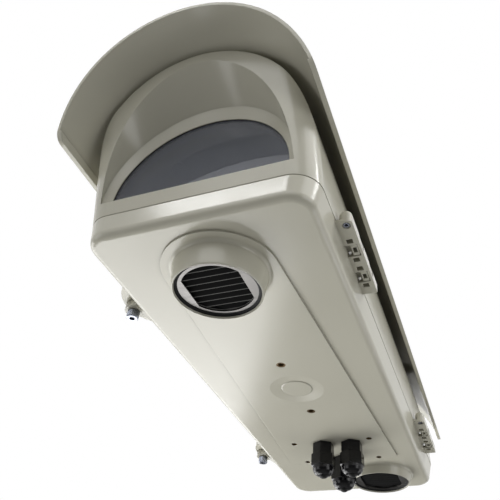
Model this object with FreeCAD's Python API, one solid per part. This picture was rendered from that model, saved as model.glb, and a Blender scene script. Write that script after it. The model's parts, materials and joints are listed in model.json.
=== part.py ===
"""Outdoor camera housing: a cast tray below, a hinged cover with a window hood, a sunshield above.

Millimetres. +Z is up, the window looks along -Y, the hinges are on the +X side.
The origin lies on the slab under the tray, midway between the two bracket holes.
"""
import FreeCAD
import Part

import math
import os

from FreeCAD import Vector

os.makedirs("parts", exist_ok=True)

# Tray, outside. It widens from the field under it to the parting line.
tray_half_top = 95.75
tray_side_draft = 4.75
tray_half_low = tray_half_top - tray_side_draft
tray_front = -259.3
tray_rear_top = 298.5
tray_rear_draft = 3.5
tray_rear_low = tray_rear_top - tray_rear_draft
tray_corner = 22.0
field_z = 1.5
parting_z = 23.0
bottom_fillet = 6.0

# Tray, inside, and the lip that stands inside the cover.
floor_z = 5.0
lip_step = 4.25
lip_thick = 3.0
lip_z = 27.0

# Slab under the tray: round at the front vent, straight flanks that widen towards the rear.
slab_round = 48.0
slab_margin = 23.7
slab_rear_half = tray_half_low - slab_margin
slab_rear_y = tray_rear_low - 105.0
slab_corner = 7.0

# Cover, outside: straight flanks, then a half circle. Its front leans forwards as it rises.
cover_overhang = 0.25
cover_half = tray_half_top + cover_overhang
cover_wall = 3.0
arch_z = 59.0
arch_top = arch_z + cover_half
cover_gap = 0.5
cover_rear = tray_rear_top
front_lean = 0.293
front_ref_y = tray_front - 1.4
front_ref_z = 28.0
block_top = arch_top + 7.0

# Hood mouth, the throat behind it and the window opening.
mouth_half = cover_half - 16.0
mouth_low = 35.0
mouth_spring = 38.0
mouth_rise = arch_top - 8.0 - mouth_spring
throat_y = tray_front - 1.7
throat_half = cover_half - 15.0
throat_low = 36.6
throat_spring = 40.0
throat_rise = arch_top - 28.0 - throat_spring
window_half = cover_half - 21.0
window_low = 39.6
window_spring = 41.6
window_lip_y = tray_front + 3.3
lip_depth = 0.8
window_seat_y = window_lip_y + lip_depth
wall_back_y = tray_front + 12.3

# Cover, inside.
shelf_z = 30.0
shelf_thick = 3.0
shelf_half = cover_half - 8.0
shelf_corner = 1.0
inner_front_corner = 5.0

# Window parts.
glass_thick = 4.0
glass_margin = 3.7
seat_margin = 4.0
seal_thick = 0.8
frame_margin = 11.0
frame_low_margin = 9.0
frame_thick = 2.5
frame_screw_margin = 7.4
frame_screw_count = 7

# Gasket between the tray lip and the shelf of the cover.
gasket_thick = 2.7
gasket_inset = 0.3

# Sunshield: one arc in section, its front edge swept forwards towards the top.
shield_room = 15.6
shield_radius = cover_half + shield_room
shield_centre_z = arch_z - 7.3
shield_low_z = 77.0
shield_thick = 2.5
shield_rear = cover_rear + 26.5
shield_bead_thick = 3.8
shield_bead_height = 6.0
shield_front_y = tray_front - 29.5
shield_sweep = 0.509
shield_sweep_curve = 0.00098
shield_sweep_z = 43.9
shield_corner = 12.0

# Posts between the cover and the sunshield.
post_angle = 38.0
post_rows = (-205.0, 20.0, 245.0)
post_radius = 7.0
post_boss_depth = 8.0

# Hinges: two, each with two eyes of the cover between three blocks of the tray.
hinge_x = cover_half + 7.0
hinge_z = 28.0
hinge_rows = (-154.5, 191.5)
hinge_front_end = 51.5
hinge_rear_end = 40.5
hinge_under_z = 20.0
hinge_block_radius = 5.0
hinge_outer_x = hinge_x + hinge_block_radius
eye_offset = 17.1
eye_half_length = 6.5
eye_gap = 0.4
eye_radius = 4.7
pin_radius = 2.0
pin_fit = 0.05
pocket = 5.0
pocket_top = 24.8
pocket_offsets = (-28.5, -5.7, 5.7, 28.5)
pin_screw_offset = -46.5
pin_screw_radius = 2.5

# Latches: two captive screws on the other side.
latch_x = -cover_half - 15.6
latch_rows = (-146.5, 199.0)
latch_plate_z = 16.5
latch_boss = 8.5
latch_flare = 7.0
latch_screw_radius = 3.0
latch_fit = 0.05
latch_tip_gap = 0.45
latch_head_radius = 5.7
latch_head_z = 8.5
latch_knurls = 18
latch_key = 5.0
ring_recess = 1.5
latch_tip_z = 33.0
lug_radius = 40.0
lug_centre_x = latch_x + 31.1
lug_top_z = 32.0
lug_peak_z = 50.0

# Vents: two round bosses under the tray, the front one twice as tall. Centre, rim height, louvre height.
vent_front = (0.0, -196.5, -20.1, 10.0)
vent_rear = (35.0, 244.5, -9.6, 6.0)
vent_rim_radius = 36.0
vent_base_radius = vent_rim_radius + 2.6
vent_flare = 3.0
vent_bore = vent_rim_radius - 1.8
vent_ledge_depth = 8.1
vent_inner_bore = vent_bore - 3.2
vent_plate_radius = vent_bore - 1.2
vent_plate_depth = 3.2
vent_plate_thick = 1.5
vent_mouth_radius = vent_plate_radius - 4.0
vent_mouth_flat = vent_plate_radius - 9.3
louvre_count = 8
louvre_pitch = 7.2
louvre_tilt = 38.0
corner_pitch = vent_inner_bore - 6.0
corner_hole_z = -0.5

# Holes under the tray.
bracket_pitch = 100.0
bracket_hole = 3.0
insert_radius = 4.5
insert_recess = 0.2
insert_tall = 9.6
rear_hole = 3.3
rear_hole_deep = 11.0
rear_pitch_x = 90.0
rear_pitch_y = 55.0
rear_hole_y = 157.5
medallion_radius = 27.6
medallion_inner = 16.5
medallion_disc = 15.0
medallion_depth = 1.2

# Cable glands: two small, one larger.
gland_small_spots = ((-11.0, 137.0), (22.6, 139.0))
gland_large_spots = ((1.5, 183.0),)
gland_small_thread = 8.0
gland_large_thread = 10.0
gland_small_flats = 22.0
gland_large_flats = 24.0
gland_cap_step = 3.0
gland_wall = 2.5
gland_inner_z = 14.0
gland_nut_tall = 5.0
gland_collar_z = -12.5
gland_cap_z = -13.2
gland_stem_z = -20.0
gland_brow_z = -26.5
gland_mouth_z = -37.0
gland_tip_z = -40.0
gland_plug_radius = 5.3
gland_plug_round = 3.8

# Clearances.
seat = 0.1
screw_slip = 0.15
insert_fit = 0.02

# Camera plate inside the tray, on four posts.
plate_half = 50.0
plate_front = -148.0
plate_rear = 102.0
plate_thick = 2.0
plate_flange = 12.0
plate_seat_z = 20.0
plate_post_inset = 8.0
plate_post_end = 12.0
plate_slot = 3.6
plate_slot_end = 24.0
plate_corner = 6.0
thumb_screw_y = -90.0
thumb_radius = 9.0
thumb_shank = 3.1
thumb_height = 7.0
thumb_reach = 9.7
thumb_grooves = 20

# Small screws inside: shank, head, and how far they go into what they hold on to.
small_screw = 1.5
small_head = 2.8
small_head_tall = 2.0
small_grip = 5.0

# Terminal board, in the rear left corner of the tray.
board_size = (60.0, 122.0)
board_centre = (-tray_half_low + 10.0 + board_size[0] / 2, tray_rear_low - 19.0 - board_size[1] / 2)
board_thick = 1.6
board_seat_z = 16.0
board_corner = 2.0
board_hole_inset = 4.0
pole_count = 8
pole_pitch = 10.0
block_half = 6.0
block_tall = 13.0
block_offset = 17.0
pole_bore = 2.6
pole_mouth = 3.0
clamp_radius = 2.3
clamp_tall = 3.0

# Heater and temperature switch, beside the front vent.
floor_boss_z = 9.0
heater_spot = (-tray_half_low + 27.0, tray_front + 69.3)
heater_half = (12.0, 34.0)
heater_base = 4.0
heater_top_z = 26.0
heater_fins = 6
heater_fin = 1.2
heater_foot = (7.0, 46.0, 2.0)
heater_screw = 41.0
switch_spot = (tray_half_low - 25.0, tray_front + 69.3)
switch_flange = (5.0, 16.0, 1.0)
switch_screw = 12.0
switch_body = (8.0, 17.0)
switch_cap = (6.5, 20.0)
switch_tab = (3.0, 0.8, 27.0)

# Fan over the rear vent.
fan_side = 2 * corner_pitch + 10.0
fan_height = 15.0
fan_bore = fan_side / 2 - 1.8
fan_corner = 5.0
fan_seat = 2.1
fan_flange = 3.0
fan_hub = 13.0
fan_hub_thick = 2.5
fan_arm = 3.0
fan_axle = 1.5
fan_axle_tall = 9.0
rotor_lift = 3.2
rotor_height = 10.5
rotor_reach = fan_bore - 1.0
rotor_wall = 1.2
blade_count = 7
blade_chord = 10.4
blade_thick = 1.0
blade_tilt = 38.0

# Filters over the vents.
retainer_thick = 2.0
retainer_web = 2.4
retainer_slots = ((fan_bore - 1.2, fan_bore - 8.2), (fan_bore - 10.7, fan_bore - 17.7))


def line(start, end):
    return Part.LineSegment(start, end).toShape()


def arc(start, middle, end):
    return Part.Arc(start, middle, end).toShape()


def box(x0, x1, y0, y1, z0, z1):
    return Part.makeBox(x1 - x0, y1 - y0, z1 - z0, Vector(x0, y0, z0))


def post(x, y, z0, z1, radius):
    return Part.makeCylinder(radius, z1 - z0, Vector(x, y, z0))


def tube(x, y, z0, z1, outer, inner):
    return post(x, y, z0, z1, outer).cut(post(x, y, z0 - 1, z1 + 1, inner))


def bar_y(x, z, y0, y1, radius):
    return Part.makeCylinder(radius, y1 - y0, Vector(x, y0, z), Vector(0, 1, 0))


def prism_y(points, y0, y1):
    """Polygon given as (x, z), drawn along Y."""
    wire = Part.makePolygon([Vector(x, y0, z) for x, z in points + points[:1]])
    return Part.Face(wire).extrude(Vector(0, y1 - y0, 0))


def prism_z(points, z0, z1):
    """Polygon given as (x, y), drawn along Z."""
    wire = Part.makePolygon([Vector(x, y, z0) for x, y in points + points[:1]])
    return Part.Face(wire).extrude(Vector(0, 0, z1 - z0))


def turned(x, y, profile):
    """Profile given as (radius, z), turned about the vertical line through x, y."""
    wire = Part.makePolygon([Vector(r, 0, z) for r, z in profile + profile[:1]])
    solid = Part.Face(wire).revolve(Vector(0, 0, 0), Vector(0, 0, 1), 360)
    solid.translate(Vector(x, y, 0))
    return solid


def joined(shapes):
    first, rest = shapes[0], shapes[1:]
    return first.fuse(rest).removeSplitter() if rest else first


def hex_post(x, y, z0, z1, flats):
    reach = flats / math.sqrt(3)
    corners = [(x + reach * math.cos(math.radians(a)), y + reach * math.sin(math.radians(a)))
               for a in range(30, 390, 60)]
    return prism_z(corners, z0, z1)


def plan_wire(half, front, rear, radius, z):
    """Rounded rectangle seen from above, at height z."""
    k = radius * (1 - math.sqrt(0.5))

    def at(x, y):
        return Vector(x, y, z)

    return Part.Wire([
        line(at(-half + radius, front), at(half - radius, front)),
        arc(at(half - radius, front), at(half - k, front + k), at(half, front + radius)),
        line(at(half, front + radius), at(half, rear - radius)),
        arc(at(half, rear - radius), at(half - k, rear - k), at(half - radius, rear)),
        line(at(half - radius, rear), at(-half + radius, rear)),
        arc(at(-half + radius, rear), at(-half + k, rear - k), at(-half, rear - radius)),
        line(at(-half, rear - radius), at(-half, front + radius)),
        arc(at(-half, front + radius), at(-half + k, front + k), at(-half + radius, front)),
    ])


def plan_prism(half, front, rear, radius, z0, z1):
    return Part.Face(plan_wire(half, front, rear, radius, z0)).extrude(Vector(0, 0, z1 - z0))


def inset_prism(step, z0, z1):
    """Prism that follows the tray's rim, moved in by step."""
    return plan_prism(tray_half_top - step, tray_front + step, tray_rear_top - step,
                      tray_corner - step, z0, z1)


def arch_prism(half, low, spring, y0, y1):
    """Straight flanks and a half circle, drawn along Y."""
    wire = Part.Wire([
        line(Vector(-half, y0, low), Vector(half, y0, low)),
        line(Vector(half, y0, low), Vector(half, y0, spring)),
        arc(Vector(half, y0, spring), Vector(0, y0, spring + half), Vector(-half, y0, spring)),
        line(Vector(-half, y0, spring), Vector(-half, y0, low)),
    ])
    return Part.Face(wire).extrude(Vector(0, y1 - y0, 0))


def lean_y(z):
    """Where the leaning front of the cover lies at height z."""
    return front_ref_y - front_lean * (z - front_ref_z)


def mouth_wire(half, low, spring, rise, y_at):
    """Sill and arch: short flanks and a half ellipse, on the surface that y_at gives for each height."""
    steps = 24
    points = [Vector(half, y_at(low), low)]
    for i in range(steps + 1):
        angle = math.pi * i / steps
        z = spring + rise * math.sin(angle)
        points.append(Vector(half * math.cos(angle), y_at(z), z))
    points.append(Vector(-half, y_at(low), low))
    crown = Part.BSplineCurve()
    crown.interpolate(points)
    return Part.Wire([line(points[-1], points[0]), crown.toShape()])


def blind_hole(x, y, z0, z1, radius):
    """Hole with a drilled cone at its upper end."""
    return turned(x, y, [(0, z0), (radius, z0), (radius, z1), (0, z1 + radius * 0.6)])


# Tray.

def tray_shell():
    low = plan_wire(tray_half_low, tray_front, tray_rear_low, tray_corner - 2, field_z)
    top = plan_wire(tray_half_top, tray_front, tray_rear_top, tray_corner, parting_z)
    outer = Part.makeLoft([low, top], True, True)
    under = [e for e in outer.Edges if e.BoundBox.ZMax < field_z + 0.01]
    return outer.makeFillet(bottom_fillet, under)


def slab():
    centre_y = vent_front[1]
    reach = math.hypot(slab_rear_half, slab_rear_y - centre_y)
    aim = math.atan2(slab_rear_y - centre_y, slab_rear_half)
    touch = aim - math.acos(slab_round / reach)
    tx = slab_round * math.cos(touch)
    ty = centre_y + slab_round * math.sin(touch)
    left, right = Vector(-tx, ty, 0), Vector(tx, ty, 0)
    nose = Vector(0, centre_y - slab_round, 0)
    rear_right = Vector(slab_rear_half, slab_rear_y, 0)
    rear_left = Vector(-slab_rear_half, slab_rear_y, 0)
    wire = Part.Wire([arc(left, nose, right), line(right, rear_right),
                      line(rear_right, rear_left), line(rear_left, left)])
    solid = Part.Face(wire).extrude(Vector(0, 0, floor_z - 1))
    corners = [e for e in solid.Edges
               if e.BoundBox.XLength + e.BoundBox.YLength < 0.01 and e.BoundBox.YMin > slab_rear_y - 1]
    return solid.makeFillet(slab_corner, corners)


def vent_boss(vent, base_z):
    """Round boss with a flared foot and a rounded rim."""
    x, y, rim_z, _ = vent
    foot = []
    for i in range(7):
        angle = math.radians(15 * i)
        foot.append((vent_base_radius + vent_flare * (1 - math.sin(angle)),
                     base_z - vent_flare * (1 - math.cos(angle))))
    rim = [(vent_rim_radius, rim_z + 1.4), (vent_rim_radius - 0.4, rim_z + 0.4),
           (vent_rim_radius - 1.2, rim_z)]
    return turned(x, y, [(0, floor_z - 1), (foot[0][0], floor_z - 1)] + foot + rim + [(0, rim_z)])


def corner_spots(vent):
    x, y = vent[:2]
    return [(x + i * corner_pitch, y + j * corner_pitch) for i in (-1, 1) for j in (-1, 1)]


def vent_bores(vent):
    x, y, rim_z, _ = vent
    ledge_z = rim_z + vent_ledge_depth
    bore = turned(x, y, [(0, rim_z - 1), (vent_bore + 0.6, rim_z - 1), (vent_bore + 0.6, rim_z + 0.6),
                         (vent_bore, rim_z + 1.6), (vent_bore, ledge_z), (vent_inner_bore, ledge_z),
                         (vent_inner_bore, floor_z + 1), (0, floor_z + 1)])
    holes = [post(px, py, corner_hole_z, floor_z + 1, small_screw + screw_slip)
             for px, py in corner_spots(vent)]
    return [bore] + holes


def medallion_hollow():
    """Shallow dish with a low bare disc in its middle."""
    rise = medallion_depth
    return turned(0, 0, [(0, -1), (medallion_radius, -1), (medallion_radius, 0),
                         (medallion_inner, rise), (medallion_disc + 0.7, rise),
                         (medallion_disc, rise - 0.7), (0, rise - 0.7)])


def rear_hole_spots():
    return [(i * rear_pitch_x / 2, rear_hole_y + j * rear_pitch_y / 2) for i in (-1, 1) for j in (-1, 1)]


def bracket_spots():
    return [(0, -bracket_pitch / 2), (0, bracket_pitch / 2)]


def plate_post_spots():
    x = plate_half - plate_post_inset
    rows = (plate_front + plate_post_end, plate_rear - plate_post_end)
    return [(i * x, y) for i in (-1, 1) for y in rows]


def board_post_spots():
    reach_x = board_size[0] / 2 - board_hole_inset
    reach_y = board_size[1] / 2 - board_hole_inset
    return [(board_centre[0] + i * reach_x, board_centre[1] + j * reach_y)
            for i in (-1, 1) for j in (-1, 1)]


def floor_screw_spots():
    spots = [(heater_spot[0], heater_spot[1] + j * heater_screw) for j in (-1, 1)]
    return spots + [(switch_spot[0], switch_spot[1] + j * switch_screw) for j in (-1, 1)]


def hinge_sections(row):
    """Start and end of the three tray blocks of one hinge."""
    edge = eye_half_length + eye_gap
    return [(row - hinge_front_end, row - eye_offset - edge),
            (row - eye_offset + edge, row + eye_offset - edge),
            (row + eye_offset + edge, row + hinge_rear_end)]


def hinge_blocks(row):
    solids = []
    for y0, y1 in hinge_sections(row):
        barrel = bar_y(hinge_x, hinge_z, y0, y1, hinge_block_radius)
        body = box(hinge_x - hinge_block_radius, hinge_outer_x, y0, y1, hinge_under_z, hinge_z)
        foot = box(tray_half_top - 4, hinge_x, y0, y1, hinge_under_z, parting_z)
        solids += [barrel, body, foot]
    rail = box(hinge_outer_x - 2, hinge_outer_x, row - hinge_front_end + 1, row + hinge_rear_end,
               hinge_under_z, hinge_under_z + 2.8)
    block = joined(solids + [rail])
    nose = [e for e in block.Edges
            if e.BoundBox.XMin > hinge_outer_x - 0.01 and e.BoundBox.YMax < row - hinge_front_end + 0.01
            and e.BoundBox.ZLength > 5]
    return block.makeFillet(4.0, nose)


def hinge_cuts(row):
    y0, y1 = row - hinge_front_end, row + hinge_rear_end
    cuts = [bar_y(hinge_x, hinge_z, y0 + 4, y1 + 1, pin_radius + pin_fit)]
    for offset in pocket_offsets:
        centre = row + offset
        cuts.append(box(hinge_x - pocket + 0.5, hinge_x + 0.5, centre - pocket / 2, centre + pocket / 2,
                        hinge_under_z - 1, pocket_top))
    screw_y = row + pin_screw_offset
    cuts.append(post(hinge_x, screw_y, hinge_under_z - 1, hinge_z - pin_radius, pin_screw_radius + screw_slip))
    cuts.append(post(hinge_x, screw_y, hinge_under_z - 1, hinge_under_z + 0.8, pin_screw_radius + 0.9))
    return cuts


def latch_bracket(row):
    """Plate that widens towards the tray, with a round end and a sloping rib below."""
    edge = -tray_half_top + 3
    root = latch_boss + latch_flare
    web = prism_z([(latch_x, row - latch_boss), (edge, row - root), (edge, row + root),
                   (latch_x, row + latch_boss)], latch_plate_z, parting_z)
    boss = post(latch_x, row, latch_plate_z, parting_z, latch_boss)
    rib_end = latch_x + latch_head_radius + 2
    wall = -tray_half_low + 1
    rib = prism_y([(wall, latch_plate_z - 11), (rib_end, latch_plate_z - 2), (rib_end, latch_plate_z + 1),
                   (wall, latch_plate_z + 1)], row - latch_boss + 0.5, row + latch_boss - 0.5)
    return joined([web, boss, rib])


def latch_bracket_cuts(row):
    return [post(latch_x, row, latch_plate_z - 1, parting_z + 1, latch_screw_radius + latch_fit),
            post(latch_x, row, parting_z - ring_recess, parting_z + 1, latch_screw_radius + 2.2)]


def base_tray():
    solid = tray_shell().fuse([slab()])
    additions = [vent_boss(vent_front, 0.0), vent_boss(vent_rear, field_z)]
    additions.append(inset_prism(lip_step, parting_z - 2, lip_z))
    for row in hinge_rows:
        additions.append(hinge_blocks(row))
    for row in latch_rows:
        additions.append(latch_bracket(row))
    for x, y in gland_large_spots:
        additions.append(post(x, y, 0, floor_z - 1, gland_large_flats / 2 + 3.5))
    solid = solid.fuse(additions)
    solid = solid.cut(inset_prism(lip_step + lip_thick, floor_z, lip_z + 1))
    insert_end = 2 * insert_recess + insert_tall
    posts = [post(x, y, floor_z - 1, rear_hole_deep + 4, rear_hole + 4.7) for x, y in rear_hole_spots()]
    posts += [post(x, y, floor_z - 1, insert_end + 4, 2 * insert_radius) for x, y in bracket_spots()]
    posts += [post(x, y, floor_z - 1, plate_seat_z, 5) for x, y in plate_post_spots()]
    posts += [post(x, y, floor_z - 1, board_seat_z, 4) for x, y in board_post_spots()]
    posts += [post(x, y, floor_z - 1, floor_boss_z, 4) for x, y in floor_screw_spots()]
    solid = solid.fuse(posts)
    cuts = [medallion_hollow()]
    cuts += vent_bores(vent_front) + vent_bores(vent_rear)
    for row in hinge_rows:
        cuts += hinge_cuts(row)
    for row in latch_rows:
        cuts += latch_bracket_cuts(row)
    cuts += [blind_hole(x, y, -1, rear_hole_deep, rear_hole) for x, y in rear_hole_spots()]
    cuts += [post(x, y, -1, insert_end, insert_radius + insert_fit) for x, y in bracket_spots()]
    cuts += [post(x, y, plate_seat_z - 9, plate_seat_z + 1, small_screw + screw_slip)
             for x, y in plate_post_spots()]
    cuts += [post(x, y, board_seat_z - 7, board_seat_z + 1, small_screw + screw_slip)
             for x, y in board_post_spots()]
    cuts += [post(x, y, floor_z - 1.5, floor_boss_z + 1, small_screw + screw_slip)
             for x, y in floor_screw_spots()]
    cuts += [post(x, y, -2, floor_z + 1, gland_small_thread + 0.2) for x, y in gland_small_spots]
    cuts += [post(x, y, -2, floor_z + 1, gland_large_thread + 0.2) for x, y in gland_large_spots]
    return solid.cut(cuts)


def bracket_inserts():
    return [tube(x, y, insert_recess, insert_recess + insert_tall, insert_radius, bracket_hole)
            for x, y in bracket_spots()]


# Cover.

def cover_block():
    """Outer form: the arched section, cut by a block whose front leans and whose corners are round."""
    low_z = parting_z + cover_gap
    low = plan_wire(cover_half, lean_y(low_z), cover_rear, tray_corner, low_z)
    top = plan_wire(cover_half, lean_y(block_top), cover_rear, tray_corner, block_top)
    block = Part.makeLoft([low, top], True, True)
    tunnel = arch_prism(cover_half, low_z, arch_z, lean_y(block_top) - 5, cover_rear + 5)
    return block.common(tunnel)


def latch_lug(row):
    """Bulge that carries the thread of a latch, with a sloping top that runs out in the wall."""
    low = Part.makeCylinder(lug_radius, lug_top_z - parting_z - cover_gap,
                            Vector(lug_centre_x, row, parting_z + cover_gap))
    peak = cover_half + lug_centre_x - 1
    roof = Part.makeCone(lug_radius, peak, lug_peak_z - lug_top_z, Vector(lug_centre_x, row, lug_top_z))
    side = box(-cover_half - 60, -cover_half + 2, row - 60, row + 60, 0, 80)
    return joined([low, roof]).common(side)


def hinge_eyes(row):
    """Two eyes, each with a flat foot below it that fills the gap in the tray's blocks."""
    solids = []
    for offset in (-eye_offset, eye_offset):
        y0, y1 = row + offset - eye_half_length, row + offset + eye_half_length
        solids.append(bar_y(hinge_x, hinge_z, y0, y1, eye_radius))
        solids.append(box(cover_half - 2, hinge_x, y0, y1, hinge_z - 2.5, hinge_z + eye_radius))
        solids.append(box(hinge_x - 3, hinge_x + 2.2, y0, y1, hinge_under_z + 0.5, hinge_z))
    return solids


def hinge_eye_cuts(row):
    cuts = []
    for offset in (-eye_offset, eye_offset):
        centre = row + offset
        cuts.append(bar_y(hinge_x, hinge_z, centre - 8, centre + 8, pin_radius + pin_fit))
        cuts.append(box(hinge_x - 1.9, hinge_x + 1.1, centre - 3, centre + 3, hinge_under_z, pocket_top))
    return cuts


def post_lines():
    """Foot and direction of each sunshield post, square to the cover's round top."""
    lines = []
    for sign in (-1, 1):
        angle = math.radians(post_angle)
        way = Vector(sign * math.sin(angle), 0, math.cos(angle))
        for y in post_rows:
            lines.append((Vector(0, y, arch_z), way))
    return lines


def along(start, way, r0, r1, radius):
    """Cylinder on the line start + way, from distance r0 to r1."""
    return Part.makeCylinder(radius, r1 - r0, start + way * r0, way)


def cover_cavity():
    half, rear = cover_half - cover_wall, cover_rear - cover_wall
    tunnel = arch_prism(half, shelf_z + shelf_thick, arch_z, wall_back_y, rear)
    front_end = plan_prism(half, wall_back_y, rear + 50, inner_front_corner, shelf_z, block_top)
    rear_end = plan_prism(half, wall_back_y - 50, rear, tray_corner - cover_wall, shelf_z, block_top)
    return tunnel.common(front_end).common(rear_end)


def hood_cuts():
    rim = mouth_wire(mouth_half, mouth_low, mouth_spring, mouth_rise, lean_y)
    throat = mouth_wire(throat_half, throat_low, throat_spring, throat_rise, lambda z: throat_y)
    opening = mouth_wire(window_half, window_low, window_spring, window_half, lambda z: window_lip_y)
    front = Part.Face(rim).extrude(Vector(0, -30, 0))
    funnel = Part.makeLoft([rim, throat], True, True)
    bezel = Part.makeLoft([throat, opening], True, True)
    through = Part.Face(opening).extrude(Vector(0, 20, 0))
    rebate = window_prism(seat_margin, window_seat_y, wall_back_y + 1)
    return [front, funnel, bezel, through, rebate]


def window_prism(margin, y0, y1, low_margin=None):
    low_margin = margin if low_margin is None else low_margin
    return arch_prism(window_half + margin, window_low - low_margin, window_spring, y0, y1)


def frame_screw_spots():
    reach = window_half + frame_screw_margin
    spots = []
    for i in range(frame_screw_count):
        angle = math.pi * i / (frame_screw_count - 1)
        spots.append((reach * math.cos(angle), window_spring + reach * math.sin(angle)))
    return spots


def top_cover():
    solid = cover_block()
    additions = [latch_lug(row) for row in latch_rows]
    for row in hinge_rows:
        additions += hinge_eyes(row)
    solid = solid.fuse(additions)
    recess = plan_prism(cover_half - cover_wall, tray_front + cover_wall, cover_rear - cover_wall,
                        tray_corner - cover_wall, parting_z, shelf_z)
    opening = plan_prism(shelf_half, wall_back_y, cover_rear - 10, shelf_corner,
                         shelf_z - 1, shelf_z + shelf_thick + 1)
    solid = solid.cut([cover_cavity(), recess, opening])
    solid = solid.cut(hood_cuts())
    bosses = [along(start, way, cover_half - post_boss_depth, cover_half - 1, 6)
              for start, way in post_lines()]
    solid = solid.fuse(bosses)
    cuts = [along(start, way, cover_half - post_boss_depth + 1.5, cover_half + 3, 2 + screw_slip)
            for start, way in post_lines()]
    for row in hinge_rows:
        cuts += hinge_eye_cuts(row)
    for row in latch_rows:
        cuts.append(post(latch_x, row, parting_z, latch_tip_z + 1.5, insert_radius + insert_fit))
    cuts += [bar_y(x, z, wall_back_y - 6, wall_back_y + 1, 2 + screw_slip) for x, z in frame_screw_spots()]
    return solid.cut(cuts)


def latch_inserts():
    bore = latch_screw_radius + latch_tip_gap
    low_z = parting_z + cover_gap + 0.1
    return [tube(latch_x, row, low_z, latch_tip_z + 1, insert_radius, bore) for row in latch_rows]


def cover_seal():
    outer = inset_prism(lip_step + gasket_inset, lip_z, lip_z + gasket_thick)
    inner = inset_prism(lip_step + lip_thick - gasket_inset, lip_z - 1, lip_z + gasket_thick + 1)
    return outer.cut(inner)


# Window.

def window_seal():
    ring = window_prism(seat_margin - 0.3, window_seat_y, window_seat_y + seal_thick)
    return ring.cut(window_prism(0.6, window_seat_y - 1, window_seat_y + seal_thick + 1))


def window_glass():
    start = window_seat_y + seal_thick
    return window_prism(glass_margin, start, start + glass_thick)


def window_frame():
    start = window_seat_y + seal_thick + glass_thick
    step = window_prism(glass_margin, start, wall_back_y + 1)
    flange = window_prism(frame_margin, wall_back_y, wall_back_y + frame_thick, frame_low_margin)
    ring = joined([step, flange]).cut(window_prism(-1, start - 1, wall_back_y + frame_thick + 1))
    holes = [bar_y(x, z, wall_back_y - 1, wall_back_y + frame_thick + 1, 2 + screw_slip)
             for x, z in frame_screw_spots()]
    return ring.cut(holes)


def pan_screw(head_radius, head_height, shank_radius, shank_length):
    """Screw with a domed head and a cross recess. The seat of the head is at 0, the shank runs to -Z."""
    head = turned(0, 0, [(0, 0), (head_radius, 0), (head_radius, head_height * 0.55),
                         (head_radius * 0.72, head_height * 0.92), (0, head_height)])
    shank = post(0, 0, -shank_length, 0.1, shank_radius)
    reach = head_radius * 0.55
    width = head_radius * 0.13
    cross = [box(-reach, reach, -width, width, head_height * 0.45, head_height + 1),
             box(-width, width, -reach, reach, head_height * 0.45, head_height + 1)]
    return joined([head, shank]).cut(cross)


def placed(shape, point, way):
    """Copy of a shape drawn along Z, turned to point along way and moved to point."""
    copy = shape.copy()
    copy.Placement = FreeCAD.Placement(point, FreeCAD.Rotation(Vector(0, 0, 1), way))
    return copy


def window_screws():
    screw = pan_screw(3.6, 2.4, 2.0, frame_thick + 5)
    seat_y = wall_back_y + frame_thick
    return [placed(screw, Vector(x, seat_y, z), Vector(0, 1, 0)) for x, z in frame_screw_spots()]


# Sunshield.

def shield_ring(outer, inner, y0, y1):
    return bar_y(0, shield_centre_z, y0, y1, outer).cut(bar_y(0, shield_centre_z, y0 - 1, y1 + 1, inner))


def shield_front_edge(z):
    step = z - shield_sweep_z
    return shield_front_y - shield_sweep * step + shield_sweep_curve * step * step


def shield_trim(low_z):
    """Block that keeps what lies behind the swept front edge and above low_z."""
    top_z = shield_centre_z + shield_radius + 3
    steps = 10
    points = []
    for i in range(steps + 1):
        z = low_z + (top_z - low_z) * i / steps
        points.append(Vector(-shield_radius - 5, shield_front_edge(z), z))
    edge = Part.BSplineCurve()
    edge.interpolate(points)
    rear_top = Vector(-shield_radius - 5, shield_rear, top_z)
    rear_low = Vector(-shield_radius - 5, shield_rear, low_z)
    wire = Part.Wire([edge.toShape(), line(points[-1], rear_top), line(rear_top, rear_low),
                      line(rear_low, points[0])])
    return Part.Face(wire).extrude(Vector(2 * shield_radius + 10, 0, 0))


def shield_body(outer, inner, low_z):
    front = shield_front_edge(shield_centre_z + shield_radius) - 20
    trim = shield_trim(low_z)
    nose = [e for e in trim.Edges if e.BoundBox.XLength > 100
            and abs(e.BoundBox.YMin - shield_front_edge(low_z)) < 0.5 and e.BoundBox.ZMax < low_z + 0.1]
    trim = trim.makeFillet(shield_corner, nose)
    return shield_ring(outer, inner, front, shield_rear + 10).common(trim)


def sunshield():
    """Rolled sheet with a thicker bead along both lower edges."""
    sheet = shield_body(shield_radius, shield_radius - shield_thick, shield_low_z)
    low_part = box(-200, 200, shield_front_y - 200, shield_rear + 50,
                   shield_low_z - 5, shield_low_z + shield_bead_height)
    bead = shield_body(shield_radius, shield_radius - shield_bead_thick, shield_low_z).common(low_part)
    solid = joined([sheet, bead])
    holes = [along(start, way, cover_half, cover_half + 30, 2 + screw_slip) for start, way in post_lines()]
    return solid.cut(holes)


def sunshield_posts():
    """Spacers whose ends follow the cover below and the shield above."""
    inner = shield_radius - shield_thick - 0.2
    room = bar_y(0, shield_centre_z, -400, 400, inner).cut(bar_y(0, arch_z, -401, 401, cover_half + 0.2))
    solids = []
    for start, way in post_lines():
        spacer = along(start, way, cover_half - 4, cover_half + 20, post_radius)
        spacer = spacer.cut(along(start, way, cover_half - 5, cover_half + 21, 2 + screw_slip))
        solids.append(spacer.common(room))
    return solids


def shield_reach():
    """Distance from the cover's axis to the shield's outer face, along a post."""
    angle = math.radians(post_angle)
    rise = arch_z - shield_centre_z
    return -rise * math.cos(angle) + math.sqrt(shield_radius ** 2 - (rise * math.sin(angle)) ** 2)


def sunshield_washers():
    reach = shield_reach() + 0.35
    return [along(start, way, reach, reach + 1.2, 6.0).cut(along(start, way, reach - 1, reach + 3, 2.2))
            for start, way in post_lines()]


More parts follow.
